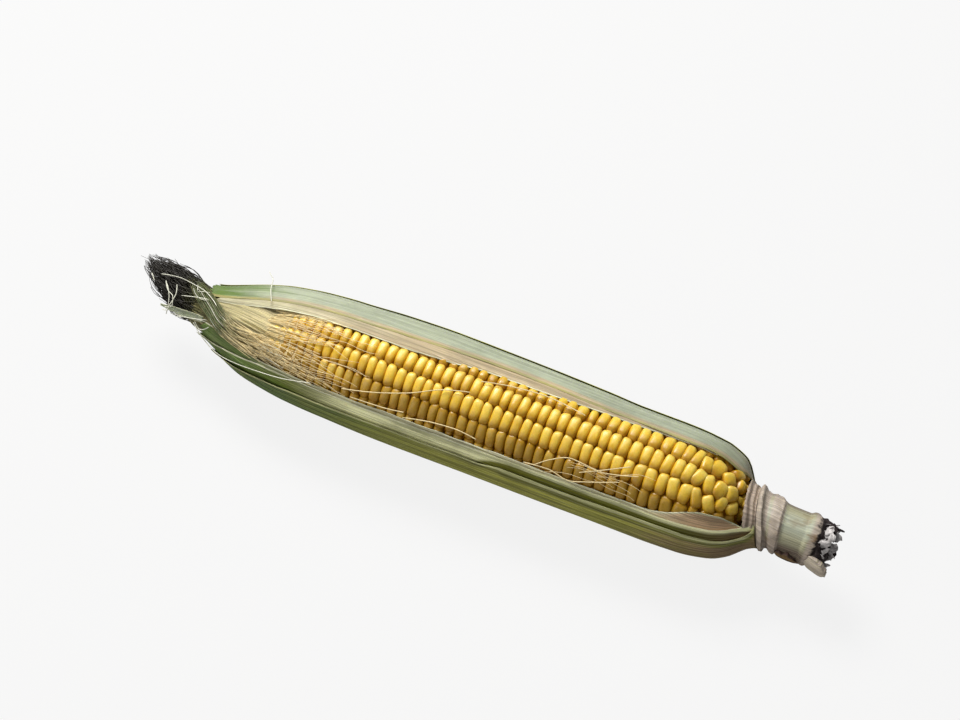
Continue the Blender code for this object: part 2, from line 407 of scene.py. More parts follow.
def kernel_axes(station, angle):
    """Axes along the ear, round it and out of its surface."""
    slope = (EAR_OUTLINE(station + 0.5) - EAR_OUTLINE(station - 0.5)) * (1 - ramp(station, 218, 226) * 0.4)
    off_axis, down_ear = outward(math.radians(angle)), Vector((1, 0, 0))
    along = (down_ear + off_axis * slope).normalized()
    out = (off_axis - down_ear * slope).normalized()
    return along, out.cross(along), out


# The stations of the cob's ends and of the first and last kernels, and a kernel's length along its
# row: the usual one, and by station.
COB_ENDS = (14.2, 224.2)
FIRST_KERNEL, LAST_KERNEL = 15.2, 225.4
USUAL_PITCH = 4.05
KERNEL_PITCH = Curve(
    (14, 2.5), (30, 3.2), (60, 3.8), (90, 4.0), (130, 4.05), (160, 4.25),
    (185, 4.6), (205, 4.8), (215, 5.1), (224, 4.6),
)


def kernel_rows(sizes):
    """Every kernel as (station, angle, half length, half width, height, rise, twist, tone)."""
    draw = random.Random(41)
    kernels = []
    for row in range(sizes.rows):
        station = FIRST_KERNEL + (row % 2) * 1.9 + draw.uniform(-0.4, 0.4)
        drift = draw.uniform(0, 50)
        while station < LAST_KERNEL:
            radius = EAR_OUTLINE(station)
            slope = EAR_OUTLINE(station + 0.5) - EAR_OUTLINE(station - 0.5)
            pitch = KERNEL_PITCH(station) * sizes.pitch / USUAL_PITCH * (1 + draw.uniform(-0.08, 0.08))
            wild = ramp(station, 190, 214)
            step = pitch / math.hypot(1, slope)
            spin = 2 * math.pi * row / sizes.rows
            angle = OPENING - 1.3 + math.degrees(spin) + 5 * math.sin(spin) + 0.064 * (station - 116)
            angle += 0.7 * wander(station / 26, row * 3.3, 2) + wild * draw.uniform(-3.4, 3.4)
            half_width = radius * math.tan(math.pi / sizes.rows) * (1 + 0.087 * math.cos(spin))
            half_length, half_width = pitch * 0.53, half_width * draw.uniform(1.02, 1.07)
            if wild > 0.3:
                half_length *= draw.uniform(0.92, 1.22)
                half_width *= draw.uniform(0.82, 1.12)
            height = sizes.depth * draw.uniform(0.95, 1.04) * min(1.0, 0.35 + radius / 22)
            rise = draw.uniform(-0.28, 0.12) - 0.3 * wild * draw.random()
            twist = math.radians(draw.uniform(-4, 4) + wild * draw.uniform(-38, 38))
            turned = (angle + 180) % 360 - 180
            tone_and_shade = 0.5 + 0.5 * wander(station / 14, row + drift, 9) + draw.uniform(-0.28, 0.28)
            # Painted shade: rows turned to the near side, away from the light, get a lower tone and are
            # painted darker.
            tone_and_shade -= 1.1 * ramp(turned, 40, 56)
            if draw.random() < 0.04 and station > 70:
                half_length *= 0.74
                rise -= 0.25
            rise += 1.9 * ramp(station, 211, 221) * hump(turned, -88, 0, 66)
            rise += 2.0 * ramp(station, 215, 222) * hump(turned, -95, -48, 0)
            kernels.append((station + step / 2, angle, half_length, half_width, height, rise, twist, tone_and_shade))
            station += step
    return kernels


def build_ear(sizes):
    """The cob's surface and every kernel on it, as one mesh. Kernels under the husk are plainer."""
    draw = random.Random(7)
    fine = kernel_shape(20, (-30, -8, 12, 30, 46, 60, 75))
    plain = kernel_shape(10, (-30, 12, 50))
    points, polygons, crowns, tones, ends = [], [], [], [], []
    for station, angle, half_length, half_width, height, rise, twist, tone_and_shade in kernel_rows(sizes):
        seen = -62 < (angle + 180) % 360 - 180 < 108
        shape, shape_crowns, faces = fine if seen else plain
        along, round_, out = kernel_axes(station, angle)
        centre = place(station, angle, EAR_OUTLINE(station)) - out * (height - rise) * MM
        axes = Matrix((along, round_, out)).transposed() @ Matrix.Rotation(twist, 3, "Z")
        lean, taper, bend = draw.uniform(-0.2, 0.2), draw.uniform(-0.12, 0.12), draw.uniform(-0.1, 0.1)
        dent = 0.0 if draw.random() > 0.05 else draw.uniform(0.06, 0.16)
        first = len(points)
        for (x, y, z), crown in zip(shape, shape_crowns):
            spread = 1 - 0.1 * max(0.0, -z)
            local = Vector((
                (x * (1 + taper * y) * spread + lean * z * 0.25 + bend * y * y) * half_length,
                y * (1 + taper * x) * spread * half_width,
                (z - dent * max(0.0, 1 - (x * x + y * y) * 2.4)) * height,
            ))
            points.append(centre + axes @ local * MM)
            crowns.append(crown)
            tones.append(tone_and_shade)
            # end runs across each kernel: the material paints its far end with a highlight and its near end
            # with shade.
            ends.append(y)
        polygons += [tuple(first + corner for corner in face) for face in faces]
    add_cob_core(points, polygons, sizes)
    # The cob gets -1 in every mask, and the material paints it dark as shade between the kernels.
    core = [-1.0] * (len(points) - len(crowns))
    masks = {"crown": crowns + core, "tone_and_shade": tones + core, "end": ends + core}
    return new_piece("ear_of_kernels", points, polygons, **masks)


def add_cob_core(points, polygons, sizes):
    """The cob under the kernels, closed at both ends."""
    first, rings, sides = len(points), 70, 36
    for station in stations_between(*COB_ENDS, rings):
        radius = max(1.0, EAR_OUTLINE(station) - sizes.depth * 0.74)
        points += [place(station, side * 360 / sides, radius) for side in range(sides)]
    polygons += tube_faces(rings, sides, first)


def bumps(around, *sizes):
    """Noise in several sizes, each with its height in mm and its fineness."""
    return sum(height * noise.noise(around * fineness) for height, fineness in sizes)


# The grain starts under the shank, at this angle, and is this many mm wide for each degree.
SHANK_SEAM = -148
SHANK_ARC = 0.17


def build_shank():
    """The stalk: ribbed, with ragged lips at its ring-shaped scars and a hollow, torn end."""
    sides, points, uvs, stations = 120, [], [], []
    angles = [side * 360 / sides + SHANK_SEAM for side in range(sides)]
    outline = Curve(*SHANK_OUTLINE)
    for (s0, _), (s1, _) in zip(SHANK_OUTLINE, SHANK_OUTLINE[1:]):
        count = max(2, round((s1 - s0) / 0.4))
        stations += [mix(s0, s1, i / count) for i in range(count)]
    stations.append(SHANK_OUTLINE[-1][0])
    for station in stations:
        first_lip, second_lip = hump(station, 229.4, 231.6, 233.6), hump(station, 235.2, 237.6, 240)
        collar = hump(station, 249.8, 252.2, 256)
        lip = max(first_lip, 0.7 * second_lip, 0.7 * collar)
        for angle in angles:
            turn = math.radians(angle)
            around = Vector((math.cos(turn), math.sin(turn), station / 9))
            ragged = bumps(around, (1.5, 1.9), (0.4, 6.5))
            rib = 0.05 * math.cos(turn * 23 + 2 * noise.noise(around)) * (1 - min(1.0, lip))
            torn = ramp(station, 252.5, 257) * bumps(around, (2.6, 2.3), (1.5, 6.3))
            radius = outline(station) + lip * (ragged - 0.4) + rib + torn - 0.2
            facing = math.cos(turn - SLANT_TURN)
            drift = lip * bumps(around, (0.9, 1.4), (0.4, 5)) + 1.6 * lip * facing
            drift += 1.6 * ramp(station, 233, 240) * facing * (1 - ramp(station, 256, 262))
            drift += 3.4 * ramp(station, 254.5, 260) * noise.noise(around * 1.7)
            points.append(place(station + drift, angle, max(0.4, radius)))
            uvs.append((angle * SHANK_ARC, station))
    for depth, share in ((-1.6, 0.72), (-2.6, 0.42)):
        for angle in angles:
            dip = depth + 1.2 * wander(angle / 9, share * 5, 31)
            points.append(place(stations[-1] + dip, angle, outline(stations[-1]) * share))
            uvs.append((angle * SHANK_ARC, stations[-1] + dip))
    return new_piece("shank_stalk", points, tube_faces(len(points) // sides, sides), uvs)


def build_strip(name, stops, middle, rows, columns, thickness, seed, ragged, curl=0.35):
    """A bent strip through stops of (station, radius, half width in degrees)."""
    stops = sorted(stops)
    radius_at = Curve(*((s, r) for s, r, _ in stops))
    width_at = Curve(*((s, w) for s, _, w in stops))
    outer, inner, uvs, rims = [], [], [], []
    for row in range(rows):
        station = mix(stops[0][0], stops[-1][0], row / (rows - 1))
        half_width, radius = width_at(station), radius_at(station)
        for column in range(columns):
            side = 2 * column / (columns - 1) - 1
            edge = ragged * wander(station / 1.8, side * 2, seed) * abs(side) ** 3
            lift = curl * side * side + 0.3 * wander(station / 4, side * 1.5, seed + 1)
            angle, along = middle + half_width * side * (1 + 0.2 * edge), station + 0.4 * edge
            outer.append(place(along, angle, radius + lift))
            inner.append(place(along, angle, radius + lift - thickness))
            uvs.append((half_width * side * 0.2, station))
            rims.append((1 - abs(side)) * 3)
    return new_sheet(name, outer, inner, rows, columns, False, uvs, rims)


def build_torn_fibres():
    """Curled scraps and short fibres at the torn end of the shank."""
    draw = random.Random(23)
    points, faces, pale = [], [], []
    for blade in range(80):
        scrap = blade < 44
        angle, radius = draw.uniform(0, 360), 8.2 * draw.random() ** (0.35 if scrap else 0.6)
        start = draw.uniform(252.5, 258.5) if scrap else draw.uniform(253, 258)
        length = draw.uniform(2.4, 5.4) if scrap else draw.uniform(1.2, 2.6)
        width = draw.uniform(1.2, 3.0) if scrap else draw.uniform(0.15, 0.5)
        flare, bend = draw.uniform(-0.2, 0.45), draw.uniform(-20, 20)
        whiteness = draw.choice((0.15, 0.3, 0.7, 1.0, 1.2))
        turn = math.radians(angle + (draw.uniform(-35, 35) if scrap else draw.uniform(0, 180)))
        side = Vector((draw.uniform(-0.5, 0.5), math.cos(turn), math.sin(turn))).normalized()
        thick = outward(turn) * 0.14 * MM
        first = len(points)
        for stop in range(6):
            t = stop / 5
            ragged = 1 + 0.5 * noise.noise(Vector((blade, t * 3, 2.0)))
            centre = place(start + length * t, angle + bend * t, radius + flare * length * t * t)
            half = side * width * math.sin(math.pi * (0.25 + 0.66 * t)) * ragged * MM
            points += [centre + a * half + b * thick for a, b in ((-1, -1), (1, -1), (1, 1), (-1, 1))]
            pale += [whiteness * (0.5 + 0.5 * t)] * 4
        faces += tube_faces(6, 4, first)
    return new_piece("torn_fibres", points, faces, pale=pale)


# ---------------------------------------------------------------- silk


# The tuft, in mm: the station where it starts, its length, its radius and how far it bends away.
TUFT_ROOT, TUFT_LENGTH, TUFT_RADIUS, TUFT_LIFT = 6, 36, 8.0, 10


def jitter(t, phase, seed):
    return Vector([wander(t, phase + axis * 5, seed) for axis in range(3)])


def tuft_point(out, across, angle):
    """A point in the tuft: out from 0 at the neck to 1, across from its middle."""
    lift = TUFT_LIFT * (max(0.0, out - 0.15) / 0.85) ** 1.3
    swell = TUFT_RADIUS * math.sin(math.pi * (0.28 + 0.64 * min(1.0, out)))
    spread = outward(math.radians(angle)) * swell * across * MM
    return place(TUFT_ROOT - TUFT_LENGTH * out, OPENING - 90, lift) + spread


def ear_crown(station, angle, above):
    """A point just over the kernels' crowns."""
    return place(station, angle, EAR_OUTLINE(max(station, 14)) + above)


def many(make, count, seed, *details):
    """Strands that are made alike, one after the other from one random draw."""
    draw = random.Random(seed)
    return [make(draw, seed, *details) for _ in range(count)]


def tuft_strand(draw, seed):
    """A dried strand from the neck out through the tuft."""
    angle, across = draw.uniform(0, 360), draw.random() ** 0.5
    reach = draw.uniform(0.6, 1.0)
    spin, phase = draw.uniform(-90, 90), draw.uniform(0, 99)
    points = []
    for step in range(15):
        t = step / 14
        point = tuft_point(reach * t, across * (0.9 + 0.25 * t), angle + spin * t)
        points.append(point + jitter(reach * t * 3.2, phase, seed) * (0.6 + 3.4 * t) * MM)
    return points


def neck_strand(draw, seed):
    """A strand that runs from the ear's tip kernels into the neck."""
    first, start_angle = draw.uniform(24, 54), draw.uniform(-12, 74)
    end_angle, across = draw.uniform(0, 360), draw.uniform(0.2, 1.0)
    phase = draw.uniform(0, 99)
    points = []
    for step in range(18):
        t = step / 17
        station = mix(first, 10, min(1.0, t / 0.62))
        lie = ear_crown(station, mix(start_angle, OPENING + (start_angle - OPENING) * 0.8, t), 0.5)
        leave = tuft_point(mix(0.0, 0.34, max(0.0, (t - 0.55) / 0.45)), across, end_angle)
        points.append(lie.lerp(leave, ramp(t, 0.45, 0.75)) + jitter(t * 3, phase, seed) * 0.9 * MM)
    return points


def lying_strand(draw, seed, stations, angles, lengths, above=0.45, sway=6.0):
    """A strand that lies on the kernels, roughly along the ear."""
    start, run = draw.uniform(*stations), draw.uniform(*lengths)
    angle, turn_by, phase = draw.uniform(*angles), draw.uniform(-14.0, 14.0), draw.uniform(0, 99)
    steps = max(8, round(run / 2.0))
    points = []
    for step in range(steps + 1):
        t = step / steps
        station = start + run * t
        turn = angle + turn_by * t + sway * wander(station / 15, phase, seed)
        lift = above + 0.5 * abs(wander(station / 6, phase + 9, seed)) + 0.8 * (2 * t - 1) ** 8
        points.append(ear_crown(station, turn, lift))
    return points


def sweeping_strand(draw, _):
    """A strand that sweeps out of the tuft, over the neck and down on to the kernels."""
    spread, depth, run = draw.uniform(-1, 1), draw.uniform(-1.4, 0.6), draw.uniform(0.75, 1.25)
    wave = draw.uniform(-4, 4)
    return free_strand(
        (-13 + 3 * spread, -46 + 22 * spread, 9.5 + depth), (-5, -16 + 26 * spread, 8.8 + depth),
        (2, 18 + 24 * spread, 9.9 + 0.6 * depth), (10, 44 + 20 * spread, 13.2 + 0.4 * depth),
        (20 * run, 52 + 15 * spread + wave, 15.8), (33 * run, 54 + 15 * spread - wave, 19.0), steps=26,
    )


def curl(draw, _):
    """A loose springy thread that stands out of the neck."""
    angle, reach, size = OPENING + draw.uniform(-40, 40), draw.uniform(6, 18), draw.uniform(0.8, 2.8)
    turns, phase = draw.uniform(-0.9, 0.9), draw.uniform(0, 6.3)
    points = []
    for step in range(25):
        t = step / 24
        swing = phase + turns * 2 * math.pi * t
        radius = 9.0 + 2.4 * t + 1.6 * t * math.sin(phase + 3 * t)
        station = 4 - reach * t + size * t * math.cos(swing)
        points.append(place(station, angle + 9 * size * t * math.sin(swing), radius))
    return points


def free_strand(*stops, steps=40):
    """One strand through stops of (station, angle, radius)."""
    curves = [Curve(*((i * 10, stop[axis]) for i, stop in enumerate(stops))) for axis in range(3)]
    length = (len(stops) - 1) * 10
    return [place(*(curve(step / steps * length) for curve in curves)) for step in range(steps + 1)]


def strand_object(name, strands, radius):
    """Fine threads as one curve object, thinner at one end. Each strand is a list of points."""
    curve = bpy.data.curves.new(name, "CURVE")
    curve.dimensions = "3D"
    curve.bevel_depth = radius * MM
    curve.bevel_resolution = 0
    curve.use_fill_caps = True
    for points in strands:
        spline = curve.splines.new("POLY")
        spline.points.add(len(points) - 1)
        for index, point in enumerate(points):
            spline.points[index].co = (*point, 1)
            spline.points[index].radius = 1.0 if index < len(points) - 2 else 0.55
    piece = bpy.data.objects.new(name, curve)
    bpy.context.scene.collection.objects.link(piece)
    return piece


def build_silk_bed():
    """The matted silk that fills the husk between the neck and the first kernels."""
    rows, columns = 140, 110
    low, high, first, last = -34, 104, -9, 56
    neck = Curve((-9, 3.0), (-5, 6.6), (0, 8.6), (8, 11.2), (14, 13.0), (20, 14.0), (26, 14.8), (32, 15.2))
    over = Curve((22, 1.0), (29, 0.4), (36, -0.4), (46, -1.2), (56, -2.2))
    outer, inner, uvs = [], [], []
    for row in range(rows):
        for column in range(columns):
            angle = mix(low, high, column / (columns - 1))
            station = mix(first + 3 * wander(angle / 9, 2.0, 53), last, row / (rows - 1))
            twist = angle + 0.5 * max(0.0, 30 - station)
            groove = 0.5 * wander(twist / 4.2, station / 26, 54)
            groove += 0.35 * wander(twist / 1.6, station / 14, 55)
            lump = 0.9 * wander(twist / 16, station / 16, 56)
            radius = max(neck(station), EAR_OUTLINE(station) + over(station))
            radius += (groove + lump) * ramp(station, first, first + 7)
            radius = min(radius, husk_radius(station, angle, 0) - 0.15)
            outer.append(place(station, angle, radius))
            inner.append(place(station, angle, radius - 0.8))
            uvs.append((twist * 0.3, station))
    return new_sheet("silk_bed", outer, inner, rows, columns, False, uvs, [9.0] * len(outer))


# ---------------------------------------------------------------- materials


class Nodes:
    """Short ways to add, feed and link the nodes of one tree."""

    def __init__(self, tree):
        self.tree = tree

    def feed(self, sockets, values):
        """Links each socket to another one, or gives it a number, vector or colour."""
        for key, value in values.items():
            if isinstance(value, bpy.types.NodeSocket):
                self.tree.links.new(value, sockets[key])
            elif sockets[key].type == "RGBA":
                sockets[key].default_value = (*value[:3], 1.0)
            else:
                sockets[key].default_value = value

    def add(self, kind, values=None, **settings):
        """A new node, with its properties set and its sockets fed."""
        node = self.tree.nodes.new("ShaderNode" + kind)
        for key, value in settings.items():
            setattr(node, key, value)
        self.feed(node.inputs, values or {})
        return node

    def calc(self, operation, a, b=0.5, c=0.5):
        return self.add("Math", {0: a, 1: b, 2: c}, operation=operation).outputs[0]

    def product(self, a, b):
        return self.calc("MULTIPLY", a, b)

    def scaled(self, value, factor, added=0.5):
        return self.calc("MULTIPLY_ADD", value, factor, added)

    def off(self, value, middle):
        """How far a value lies from its middle."""
        return self.calc("ABSOLUTE", self.calc("SUBTRACT", value, middle))

    def blend(self, factor, a, b, how="MIX"):
        """Colour a where the factor is 0, and b where it is 1."""
        return self.add("Mix", {0: factor, 6: a, 7: b}, data_type="RGBA", blend_type=how).outputs[2]

    def times(self, colour, value):
        """A colour made lighter or darker by a value."""
        grey = self.add("CombineColor", {0: value, 1: value, 2: value}).outputs[0]
        return self.blend(1.0, colour, grey, "MULTIPLY")

    def remap(self, value, low, high, to_low=0.0, to_high=1.0):
        """A value that goes smoothly from to_low at low to to_high at high."""
        bounds = {"Value": value, "From Min": low, "From Max": high, "To Min": to_low, "To Max": to_high}
        return self.add("MapRange", bounds, interpolation_type="SMOOTHSTEP").outputs[0]

    def split(self, vector):
        return self.add("SeparateXYZ", {0: vector}).outputs

    def where(self):
        """Object coordinates, in metres."""
        return self.add("TexCoord").outputs["Object"]

    def grain(self):
        """Grain coordinates, in mm across and along the grain."""
        return self.add("UVMap", uv_map="grain").outputs[0]

    def mask(self, name):
        """One of the mesh's own attributes."""
        return self.add("Attribute", attribute_name=name).outputs["Fac"]

    def cloud(self, vector, scale, detail=3.0, rough=0.5):
        values = {"Vector": vector, "Scale": scale, "Detail": detail, "Roughness": rough}
        return self.add("TexNoise", values).outputs[0]

    def grain_cloud(self, vector, across, along, detail=3.0, rough=0.55):
        """Noise that is drawn out along the grain."""
        squeezed = self.add("VectorMath", {0: vector, 1: (across, along, 1.0)}, operation="MULTIPLY")
        return self.cloud(squeezed.outputs[0], 1.0, detail, rough)

    def bump(self, height, strength, distance):
        """A normal from a height. The distance is in mm."""
        values = {"Height": height, "Strength": strength, "Distance": distance * MM}
        return self.add("Bump", values).outputs[0]

    def group(self, name, values):
        """One of this file's node groups, built the first time that it is asked for."""
        makers = {"Husk veins": husk_veins_group, "Husk tones": husk_tones_group, "Mottle": mottle_group}
        tree = bpy.data.node_groups.get(name) or makers[name]()
        return self.add("Group", values, node_tree=tree).outputs


def new_group(name, inputs, outputs, kind):
    """A node group's nodes, inner inputs and inner outputs. The kind is that of its outputs.

    An input is a vector, a number or a colour by what its default is.
    """
    kinds = {type(None): "Vector", float: "Float", tuple: "Color"}
    tree = bpy.data.node_groups.new(name, "ShaderNodeTree")
    for label, default in inputs.items():
        sort = "NodeSocket" + kinds[type(default)]
        socket = tree.interface.new_socket(label, in_out="INPUT", socket_type=sort)
        if default is not None:
            socket.default_value = default
    for label in outputs:
        tree.interface.new_socket(label, in_out="OUTPUT", socket_type="NodeSocket" + kind)
    return Nodes(tree), tree.nodes.new("NodeGroupInput").outputs, tree.nodes.new("NodeGroupOutput").inputs


def husk_veins_group():
    """Parallel veins with streaks between them, from grain coordinates in mm."""
    nodes, given, out = new_group(
        "Husk veins", {"Grain": None, "Vein gap": 1.2}, ("Veins", "Streaks", "Height"), "Float"
    )
    grain = given["Grain"]
    across = nodes.scaled(nodes.grain_cloud(grain, 0.05, 0.02), 5.0, nodes.split(grain)[0])
    phase = nodes.product(nodes.calc("DIVIDE", across, given["Vein gap"]), 2 * math.pi)
    wave = nodes.scaled(nodes.calc("SINE", phase), 0.5)
    fine = nodes.grain_cloud(grain, 3.1, 0.035, 4.0, 0.7)
    broad = nodes.grain_cloud(grain, 0.55, 0.012, 2.0, 0.5)
    patchy = nodes.grain_cloud(grain, 0.35, 0.03, 2.0, 0.5)
    veins = nodes.product(nodes.calc("POWER", wave, 2.2), nodes.remap(patchy, 0.3, 0.6, 0.35, 1.0))
    streaks = nodes.scaled(fine, 0.6, nodes.product(broad, 0.4))
    nodes.feed(out, {
        "Veins": veins,
        "Streaks": nodes.remap(streaks, 0.36, 0.64),
        "Height": nodes.scaled(fine, 0.7, veins),
    })
    return nodes.tree


def husk_tones_group():
    """A leaf's colour from tip to butt and in from its edge, from grain coordinates in mm."""
    inputs = {"Grain": None, "Rim": 9.0}
    inputs.update(dict.fromkeys(TONES, (0.4, 0.4, 0.2, 1)) | dict.fromkeys(PLACES, 1.0))
    nodes, given, out = new_group("Husk tones", inputs, ("Colour",), "Color")
    along = nodes.split(given["Grain"])[1]
    patchy = nodes.calc("SUBTRACT", nodes.grain_cloud(given["Grain"], 0.22, 0.02, 4.0))
    uneven = nodes.scaled(patchy, 60.0, along)

    def share(label, part):
        return nodes.product(given[label], part)

    from_tip = nodes.remap(uneven, share("Tip end", 0.2), given["Tip end"])
    to_butt = nodes.remap(uneven, given["Butt start"], nodes.calc("ADD", given["Butt start"], 36.0))
    body = nodes.blend(from_tip, given["Tip"], given["Middle"])
    body = nodes.blend(to_butt, body, given["Butt"])
    inward = nodes.scaled(patchy, 2.0, given["Rim"])
    margin = nodes.remap(inward, share("Margin width", 0.5), given["Margin width"])
    green = nodes.remap(along, share("Tip end", 0.55), given["Tip end"])
    margin = nodes.calc("MAXIMUM", margin, nodes.calc("SUBTRACT", 1.0, green))
    body = nodes.blend(margin, given["Margin"], body)
    rim = nodes.remap(given["Rim"], share("Edge width", 0.6), given["Edge width"])
    nodes.feed(out, {"Colour": nodes.blend(rim, given["Edge"], body)})
    return nodes.tree


def mottle_group():
    """Slow changes of a colour's depth over a surface, from object coordinates."""
    grey = (0.5, 0.5, 0.5, 1)
    inputs = {"Colour": grey, "Dark": grey, "Scale": 60.0, "Amount": 0.3}
    nodes, given, out = new_group("Mottle", inputs, ("Colour",), "Color")
    texture = nodes.cloud(nodes.where(), given["Scale"], 4.0, 0.6)
    patches = nodes.product(nodes.remap(texture, 0.42, 0.68), given["Amount"])
    nodes.feed(out, {"Colour": nodes.blend(patches, given["Colour"], given["Dark"])})
    return nodes.tree


def mottled(nodes, colour, dark, scale, amount):
    return nodes.group("Mottle", {"Colour": colour, "Dark": dark, "Scale": scale, "Amount": amount})[0]


def new_material(name, roughness, specular, subsurface=0.0, radius=(1.0, 0.6, 0.2), scale=0.002):
    """A material, its nodes and its shader's sockets."""
    material = bpy.data.materials.new(name)
    material.use_nodes = True
    nodes = Nodes(material.node_tree)
    sockets = material.node_tree.nodes["Principled BSDF"].inputs
    nodes.feed(sockets, {
        "Roughness": roughness, "Specular IOR Level": specular, "Subsurface Weight": subsurface,
        "Subsurface Radius": radius, "Subsurface Scale": scale,
    })
    return material, nodes, sockets


def husk_material(name, tones, vein, finish, places):
    """Fresh or drying husk: graded colour, parallel veins, fine streaks and a soft sheen.

    tones are colours for TONES and places are mm for PLACES. The finish is the gap between veins
    in mm, the roughness, and how strong the veins and the streaks are.
    """
    gap, roughness, veined, contrast = finish
    material, nodes, sockets = new_material(name, roughness, 0.3, 0.1, (0.8, 1.0, 0.35), 0.001)
    grain = nodes.grain()
    graded = dict(zip(TONES + PLACES, (*tones, *places)))
    tint = nodes.group("Husk tones", {"Grain": grain, "Rim": nodes.mask("rim"), **graded})[0]
    veins = nodes.group("Husk veins", {"Grain": grain, "Vein gap": gap})
    streaks = veins["Streaks"]
    skin = nodes.blend(nodes.product(veins["Veins"], veined), tint, vein)
    skin = nodes.times(skin, nodes.remap(streaks, 0.0, 1.0, 1 - contrast, 1 + 0.55 * contrast))
    nodes.feed(sockets, {
        "Base Color": mottled(nodes, skin, [channel * 0.5 for channel in tones[1]], 70.0, 0.3),
        "Roughness": nodes.remap(streaks, 0.0, 1.0, roughness + 0.12, roughness - 0.06),
        "Normal": nodes.bump(veins["Height"], 0.6, 0.18),
    })
    return material


def kernel_material(colours):
    """Sweetcorn kernels: deeper orange low down, golden sides and pale crowns, with painted shade where they
    meet and on the near rows, a painted highlight on each crown's far end, and the cob between them painted
    dark as shade.
    """
    material, nodes, sockets = new_material("Kernel skin", 0.3, 0.5, 0.15, (1.0, 0.5, 0.08), 0.0016)
    crown, tone_and_shade, end = (nodes.mask(name) for name in ("crown", "tone_and_shade", "end"))
    where = nodes.where()
    cloud, fleck = nodes.cloud(where, 420.0), nodes.cloud(where, 1500.0)
    # Each kernel runs from the groove colour low down to its side colour: its own deeper orange at the base,
    # with painted shade where kernels meet.
    skin = nodes.blend(nodes.remap(crown, 0.12, 0.62), colours.groove, colours.side)
    # Paler crown patches: partly the kernels' own paler tops, partly a painted highlight.
    pale = nodes.product(nodes.remap(crown, 0.7, 1.0), nodes.remap(cloud, 0.35, 0.65, 0.5, 0.9))
    # Painted highlight: the far end of each kernel's crown, where the key light falls, is painted in the
    # highlight colour, less so on the shaded rows.
    lit = nodes.product(nodes.remap(end, 0.0, 0.8, 0.0, 0.42), nodes.remap(crown, 0.35, 0.8))
    layers = (
        (nodes.product(pale, 0.6), colours.crown),
        (nodes.remap(tone_and_shade, 0.4, 1.1, 0.0, 0.4), colours.crown),
        (nodes.remap(tone_and_shade, 0.45, -0.2, 0.0, 0.55), colours.groove),
        # Painted shade: the near end of each kernel, which faces away from the light, is painted towards the
        # groove colour.
        (nodes.remap(end, 0.15, -0.85, 0.0, 0.7), colours.groove),
        (nodes.product(lit, nodes.remap(tone_and_shade, -0.5, 0.2)), colours.painted_highlight),
    )
    for cover, colour in layers:
        skin = nodes.blend(cover, skin, colour)
    # Low tones are painted darker: the kernels' own random tone, and painted shade on the near rows.
    skin = nodes.times(skin, nodes.remap(tone_and_shade, 0.2, -0.6, 1.0, 0.74))
    skin = nodes.times(skin, nodes.remap(fleck, 0.35, 0.65, 0.94, 1.04))
    under = nodes.remap(crown, 0.3, -0.2)
    nodes.feed(sockets, {
        # The cob under the kernels is painted dark: painted shade in the gaps between them.
        "Base Color": nodes.blend(nodes.remap(crown, -0.2, -0.6), skin, colours.gap_shade),
        "Roughness": nodes.scaled(under, 0.5, nodes.remap(cloud, 0.3, 0.7, 0.27, 0.44)),
        "Specular IOR Level": nodes.scaled(under, -0.45, 0.5),
        "Normal": nodes.bump(cloud, 0.25, 0.12),
    })
    return material


def shank_material(colours):
    """The stalk: pale green ribs, beige scars, and a dark torn end."""
    material, nodes, sockets = new_material("Shank fibre", 0.5, 0.35, 0.08, (0.9, 0.9, 0.4), 0.0012)
    grain = nodes.grain()
    across, along, _ = nodes.split(grain)
    veins = nodes.group("Husk veins", {"Grain": grain, "Vein gap": 0.9})
    off_top = nodes.off(across, 2.4)
    # Painted highlight: the top of the stalk, which faces the light, is painted paler.
    skin = nodes.blend(nodes.remap(off_top, 6.5, 1.5), colours.stalk, colours.sheen)
    # The stalk's underside and back are painted dark purple-brown: the dry sheath's colour, and painted
    # shade on the side away from the light.
    skin = nodes.blend(nodes.remap(off_top, 6.5, 11.5, 0.0, 0.9), skin, colours.purple)
    skin = nodes.blend(nodes.product(veins["Veins"], 0.3), skin, colours.rib)
    for low, high in ((227.5, 235.5), (235.0, 240.2), (250.2, 256.0)):
        near, half = nodes.off(along, (low + high) / 2), (high - low) / 2
        skin = nodes.blend(nodes.product(nodes.remap(near, half, half - 1.2), 0.9), skin, colours.scar)
    skin = nodes.times(skin, nodes.remap(veins["Streaks"], 0.0, 1.0, 0.68, 1.15))
    stained = nodes.remap(nodes.grain_cloud(grain, 0.16, 0.1, 4.0, 0.65), 0.52, 0.66)
    stained = nodes.product(stained, nodes.remap(along, 246.0, 254.0, 0.35, 0.9))
    skin = nodes.blend(stained, skin, colours.stain)
    torn = nodes.remap(nodes.scaled(nodes.grain_cloud(grain, 0.5, 0.3), 6.0, along), 255.0, 256.6)
    nodes.feed(sockets, {
        "Base Color": nodes.blend(torn, skin, colours.torn),
        "Roughness": nodes.remap(torn, 0.0, 1.0, 0.48, 0.8),
        "Normal": nodes.bump(veins["Height"], 0.4, 0.15),
    })
    return material


def fibre_material(colours):
    """Dry fibres: dark near the stalk and white where they are dry."""
    material, nodes, sockets = new_material("Torn fibre", 0.75, 0.3)
    skin = nodes.blend(nodes.remap(nodes.mask("pale"), 0.25, 0.8), colours.torn, colours.fibre)
    nodes.feed(sockets, {"Base Color": mottled(nodes, skin, colours.torn, 900.0, 0.4)})
    return material


